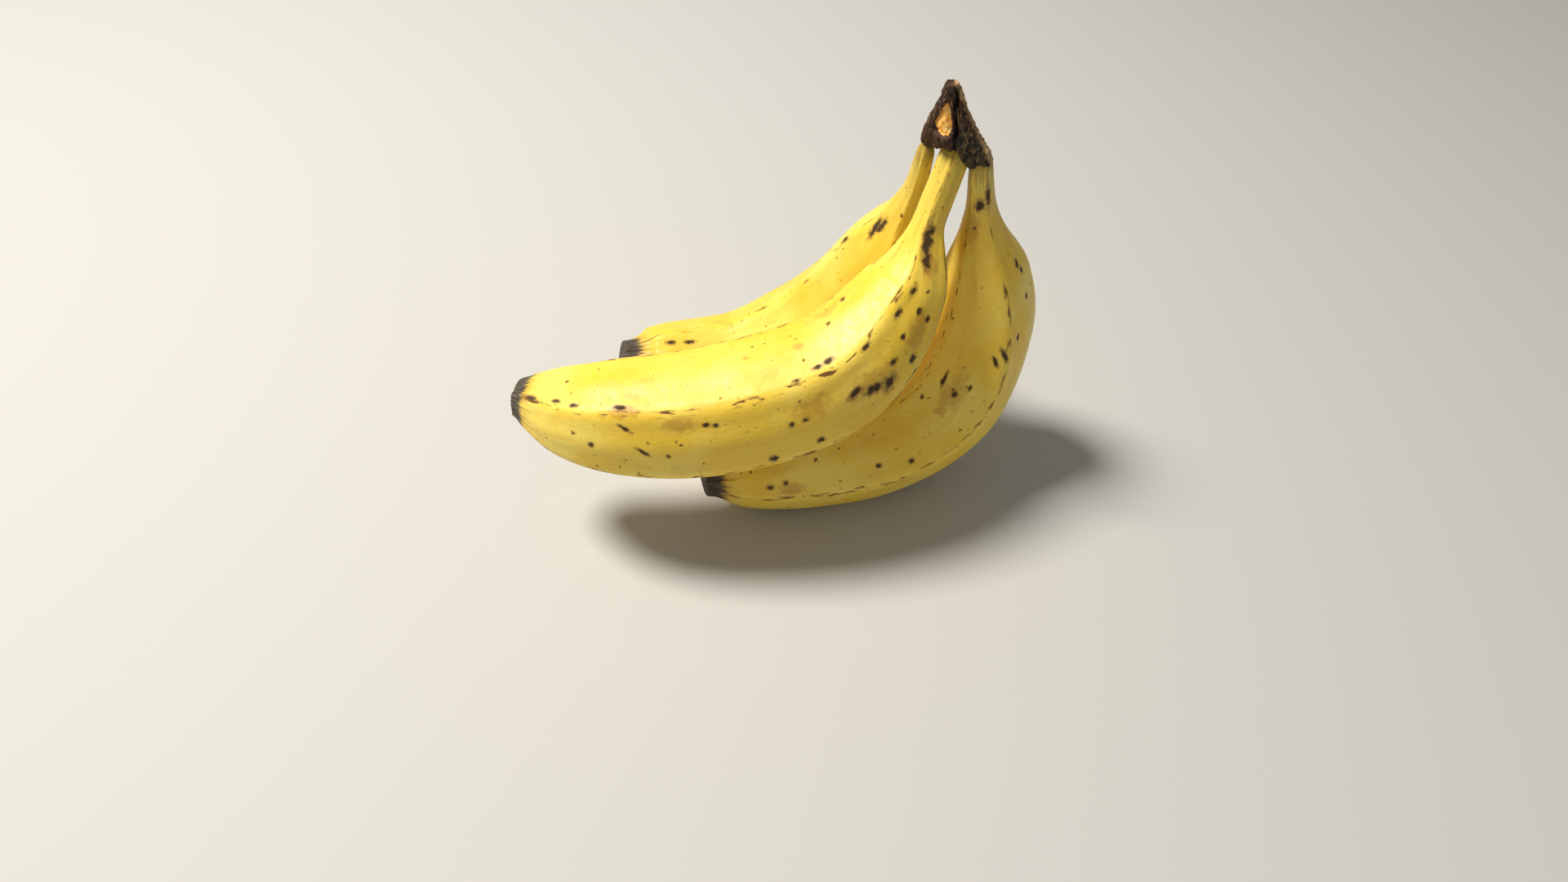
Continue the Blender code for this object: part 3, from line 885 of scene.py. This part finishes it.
def rope(bm, stops, sides=20, steps=26):
    """A closed tapering tube through the stops, in mm."""
    points, radii, knots = strand_path(stops)
    rings = []
    for k in range(steps + 1):
        at = knots[-1] * k / steps
        centre, radius = through(points, knots, at), through(radii, knots, at)
        ring = []
        for i in range(sides):
            a = 2 * math.pi * i / sides
            ring.append(bm.verts.new(centre + Vector((radius * math.cos(a),
                                                      radius * math.sin(a), 0))))
        rings.append(ring)
    skin_rings(bm, rings)
    bm.faces.new(tuple(reversed(rings[0])))
    bm.faces.new(tuple(rings[-1]))


def fused(name, bm, voxel_mm):
    """Turn overlapping closed pieces into one skin and smooth it lightly."""
    bm.transform(Matrix.Scale(MM, 4))
    mesh = bpy.data.meshes.new(name)
    bm.to_mesh(mesh)
    bm.free()
    obj = bpy.data.objects.new(name, mesh)
    bpy.context.scene.collection.objects.link(obj)
    remesh = obj.modifiers.new("fuse", "REMESH")
    remesh.mode, remesh.voxel_size = "VOXEL", voxel_mm * MM
    soften = obj.modifiers.new("soften", "SMOOTH")
    soften.factor, soften.iterations = 0.5, 4
    ready = obj.evaluated_get(bpy.context.evaluated_depsgraph_get())
    result = bpy.data.meshes.new_from_object(ready)
    obj.modifiers.clear()
    obj.data = result
    result.name = name
    return obj


VOXEL_MM = 0.21
bm = bmesh.new()
for stops in STRANDS.values():
    rope(bm, stops)
crown = fused("dried_crown", bm, VOXEL_MM)
print("crown:", len(crown.data.vertices), "points")

# %% [markdown]
# The fused crown is then carved point by point: fine fibres and lumps all
# over, the window of torn pith sunk in with a raised lip under it, and the
# crease. Each carving is also stored as an attribute, so that the colours
# fall exactly on the shape.

# %% Carve the crown
# mm: x from the front neck, z above the table
WINDOW_X, WINDOW_Z, WINDOW_HALF_WIDTH = -2.9, 120.6, 2.3
WINDOW_BELOW, WINDOW_ABOVE = 3.1, 5.6
WINDOW_DEPTH, WINDOW_RIM = 0.85, 0.30
CREASE_DEPTH, CREASE_HALF_WIDTH = 1.25, 0.48
LIP_RISE, LIP_BAND_RISE = 0.28, 0.12
FIBRE_RISE, FINE_RISE, LUMP_RISE = 0.20, 0.08, 0.26


def step(value, start, end):
    """Smooth step of a plain number, 0 at start to 1 at end."""
    a = min(max((value - start) / (end - start), 0.0), 1.0)
    return a * a * (3 - 2 * a)


def carve(obj):
    mesh = obj.data
    layers = {n: [] for n in ("torn", "crease", "pad", "edge", "lip", "bands")}
    normals = [v.normal.copy() for v in mesh.vertices]
    for v, normal in zip(mesh.vertices, normals):
        x, y = v.co.x / MM - CROWN_AT.x, v.co.y / MM - CROWN_AT.y
        z = v.co.z / MM
        open_side = step(-normal.y, -0.15, 0.25)
        ragged = 0.35 * noise.noise(Vector((x, y, z)) * 1.3)
        # window: wide and round below, narrow above
        half = WINDOW_HALF_WIDTH - 0.22 * max(z - 119.5, 0.0)
        down = (WINDOW_Z - z) / WINDOW_BELOW if z < WINDOW_Z else (z - WINDOW_Z) / WINDOW_ABOVE
        away = math.hypot((x - WINDOW_X) / max(half, 0.5), down) + ragged * 0.5
        torn = open_side * step(away, 1.08, 0.86)
        rim = open_side * math.exp(-((away - 1.22) / 0.16) ** 2)
        # crease from under the knob down to the neck
        bend = 0.25 - 0.10 * (z - 118.0) + 0.2 * math.sin(z * 0.7)
        crease = (open_side * math.exp(-((x - bend) / CREASE_HALF_WIDTH) ** 2)
                  * step(z, 111.0, 113.5) * step(z, 130.2, 128.5))
        # a lip under the window, a mouldy pad at the right, a frayed right edge that is also
        # painted pale as a highlight
        lip = open_side * step(x, 1.2, 0.2) * step(z, 113.9, 114.5) * step(z, 117.9, 117.2)
        pad = step(x, 0.6, 2.0) * step(z, 121.5, 117.5)
        edge = step(x - (11.4 - 0.60 * (z - 110.5)), -1.7, -0.4)
        fibres = noise.noise(Vector((x * 2.3, y * 2.3, z * 0.22 + 5)))
        fine = noise.noise(Vector((x * 5.5, y * 5.5, z * 0.5 + 9)))
        lumps = noise.noise(Vector((x, y, z)) * 0.75)
        knots = noise.noise(Vector((x, y, z)) * 1.7)
        push = (FIBRE_RISE * fibres + FINE_RISE * fine) * (1 - torn) + LUMP_RISE * lumps
        push += (pad * LUMP_RISE * knots + WINDOW_RIM * rim - WINDOW_DEPTH * torn
                 - CREASE_DEPTH * crease)
        bands = 0.5 + 0.5 * math.sin(z * 5.0 + x * 0.8 + 5.0 * knots)
        push += lip * (LIP_RISE + LIP_BAND_RISE * bands)
        v.co += normal * (push * MM)
        for name, value in (("torn", torn), ("crease", crease), ("pad", pad),
                            ("edge", edge), ("lip", lip), ("bands", lip * bands)):
            layers[name].append(value)
    for name, values in layers.items():
        mesh.attributes.new(name, "FLOAT", "POINT").data.foreach_set("value", values)
    mesh.update()
    for face in mesh.polygons:
        face.use_smooth = True
    return list(layers)


print("carved and stored:", carve(crown))

# %% [markdown]
# Where the stalk was cut and torn, single fibres have come loose. They are
# hair-thin, pale and dry, lie along the strands and lift only at their ends,
# so they are laid on the carved ropes after everything else.

# %% Loose fibres on the crown
FIBRE_SIDES, FIBRE_STEPS = 6, 12
# the pale straw is frayed fibre colour; on the crown's right edge it is also a painted highlight
FIBRE_PALE = 0.55  # how much of the frayed edge's pale colour a fibre takes


def add_fibres(obj, count=40, seed=4):
    """Lay loose fibres on the strands, all mm."""
    rng = random.Random(seed)
    bm = bmesh.new()
    bm.from_mesh(obj.data)
    pale = bm.verts.layers.float["edge"]
    for _ in range(count):
        stops = STRANDS[rng.choice(("back", "back", "front", "right"))]
        points, radii, knots = strand_path(stops)
        start = rng.uniform(0.05, 0.62)
        angle, drift = rng.uniform(0, 2 * math.pi), rng.uniform(-0.7, 0.7)
        length, thick = rng.uniform(0.18, 0.42), rng.uniform(0.045, 0.085)
        lift, way = rng.uniform(0.0, 0.5), rng.choice((-1, 1))
        rings = []
        for k in range(FIBRE_STEPS + 1):
            a = k / FIBRE_STEPS
            at = knots[-1] * min(start + length * a, 0.985)
            out = Vector((math.cos(angle + drift * a), math.sin(angle + drift * a), 0))
            loose = lift * step(a if way > 0 else 1 - a, 0.55, 1.0)
            centre = through(points, knots, at)
            centre += out * (through(radii, knots, at) + 0.06 + loose)
            slim = thick * (1 - 0.7 * abs(2 * a - 1) ** 3)
            ring = []
            for i in range(FIBRE_SIDES):
                turn = 2 * math.pi * i / FIBRE_SIDES
                ring.append(bm.verts.new((centre + out * (slim * math.cos(turn))
                                          + out.cross(Vector((0, 0, 1)))
                                          * (slim * math.sin(turn))) * MM))
            rings.append(ring)
        skin_rings(bm, rings)
        bm.faces.new(rings[0])
        bm.faces.new(rings[-1])
        for ring in rings:
            for v in ring:
                v[pale] = FIBRE_PALE
    bmesh.ops.recalc_face_normals(bm, faces=bm.faces)
    bm.to_mesh(obj.data)
    bm.free()
    for face in obj.data.polygons:
        face.use_smooth = True


add_fibres(crown)

# %% [markdown]
# A dead stalk has no wax left, so it is matt all over. Dry fibres run through
# it in two browns, its right pad is mottled with dark and greenish mould, its
# outer edge is pale straw, partly frayed fibre and partly a painted highlight,
# and the torn window shows bare tan pith. The crease is painted near-black and
# the low parts of the lip's bands darker, as painted shade. The masks are the
# values stored while carving, so each colour ends where its shape does.

# %% Dried fibrous stalk
def paint_stalk(material):
    """Dead fibrous stalk: brown-black, matt, paler where it has frayed and on its right edge,
    where the pale is partly a painted highlight.
    """
    tree, shader = fresh_shader(material)
    place = add_node(tree, "ShaderNodeTexCoord").outputs["Object"]
    torn, crease, pad = read(tree, "torn"), read(tree, "crease"), read(tree, "pad")
    edge, lip = read(tree, "edge"), read(tree, "lip")
    fibre = grain(tree, place, 0.55, 12.0, 4.0)
    blotch = grain(tree, place, 2.2, detail=4.0, shift=2.0)
    colour = mix(tree, ramp(tree, fibre, 0.38, 0.66), "160B06", "4C2C14")
    colour = mix(tree, ramp(tree, blotch, 0.48, 0.66, 0.0, 0.7), colour, "34150A")
    mottle = grain(tree, place, 1.0, 1.3, 4.0, 7.0)
    pad_colour = mix(tree, ramp(tree, mottle, 0.42, 0.60), "0E0A06", "4E3F24")
    pad_colour = mix(tree, ramp(tree, grain(tree, place, 2.6, detail=2.0, shift=9.0),
                                0.60, 0.72, 0.0, 0.5), pad_colour, "2F3A1E")
    colour = mix(tree, pad, colour, pad_colour)
    # painted highlight: the right edge is painted pale straw as if lit, over its frayed fibres;
    # loose fibres take the same straw
    frayed_and_lit = calc(tree, "MULTIPLY", edge, ramp(tree, fibre, 0.34, 0.54, 0.35, 1.0))
    colour = mix(tree, frayed_and_lit, colour, "C4A274")
    thread = ramp(tree, grain(tree, place, 0.40, 18.0, 2.0, 13.0), 0.62, 0.69, 0.0, 0.7)
    colour = mix(tree, thread, colour, "A88A5E")
    # painted shade: the lip's bands are darker in their low parts and lighter on their raised
    # parts
    colour = mix(tree, calc(tree, "MULTIPLY", lip, 0.8), colour,
                 mix(tree, read(tree, "bands"), "2A1509", "4E3018"))
    pith = mix(tree, ramp(tree, grain(tree, place, 1.2, 2.0, 4.0, 3.0), 0.42, 0.62),
               "E3A341", "F4C670")
    pith = mix(tree, ramp(tree, grain(tree, place, 0.8, detail=3.0, shift=5.0),
                          0.64, 0.76, 0.0, 0.5), pith, "8A5822")
    colour = mix(tree, ramp(tree, torn, 0.35, 0.75), colour, pith)
    # painted shade: the crease is painted near-black, the shade deep inside it
    colour = mix(tree, ramp(tree, crease, 0.25, 0.75, 0.0, 0.95), colour, "0B0705")
    tree.links.new(colour, shader.inputs["Base Color"])
    tree.links.new(ramp(tree, fibre, 0.3, 0.7, 0.82, 0.58), shader.inputs["Roughness"])
    shader.inputs["IOR"].default_value = 1.42  # dry plant fibre
    bumps(tree, shader, [(fibre, 0.25), (calc(tree, "MULTIPLY", mottle, pad), 0.22),
                         (grain(tree, place, 0.25, 6.0, 2.0), 0.10)])


stalk = start_material("dried fibrous stalk")
paint_stalk(stalk)
crown.data.materials.append(stalk)
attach(crown, "root")
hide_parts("crown")
print("crown material:", stalk.name)
